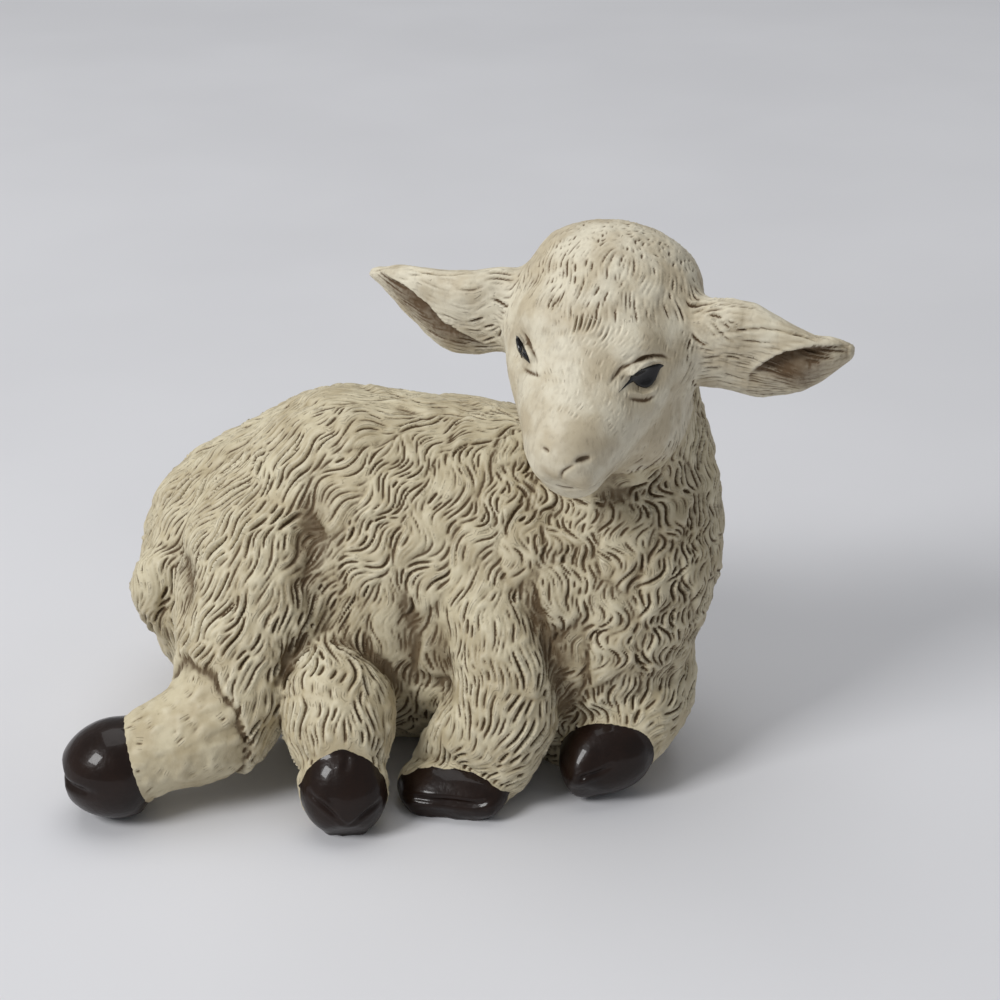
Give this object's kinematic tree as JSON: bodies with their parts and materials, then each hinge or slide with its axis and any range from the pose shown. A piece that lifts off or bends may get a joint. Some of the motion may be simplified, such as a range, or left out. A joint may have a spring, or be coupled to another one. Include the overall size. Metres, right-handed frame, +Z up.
{
  "type": "lying lamb figurine",
  "caption": "Small cast-resin lamb figurine lying with its legs folded and its head turned to one side, with carved wool, cupped ears and cloven hooves, for standing on a shelf or in a scene.",
  "frame": {"origin": "middle of the footprint, on the surface that the figurine rests on", "axes": "+X along the lying body from rump to breast, +Y towards the lamb's left side, away from the side that the head looks to, +Z up"},
  "size_m": [0.0636, 0.0396, 0.0476],
  "materials": {
    "fleece": "matte cream paint over carved wool, with a thin brown wash in the grooves",
    "face": "matte cream paint",
    "hoof": "glossy dark brown paint",
    "eye": "glossy black paint"
  },
  "bodies": {
    "root": {"body": "fleece", "tail": "fleece", "right_hind_leg": "fleece", "left_hind_leg": "fleece", "right_fore_leg": "fleece", "left_fore_leg": "fleece", "right_hind_hoof": "hoof", "left_hind_hoof": "hoof", "right_fore_hoof": "hoof", "left_fore_hoof": "hoof", "head": "face", "left_ear": "face", "right_ear": "face", "left_eye": "eye", "right_eye": "eye"}
  },
  "joints": []
}
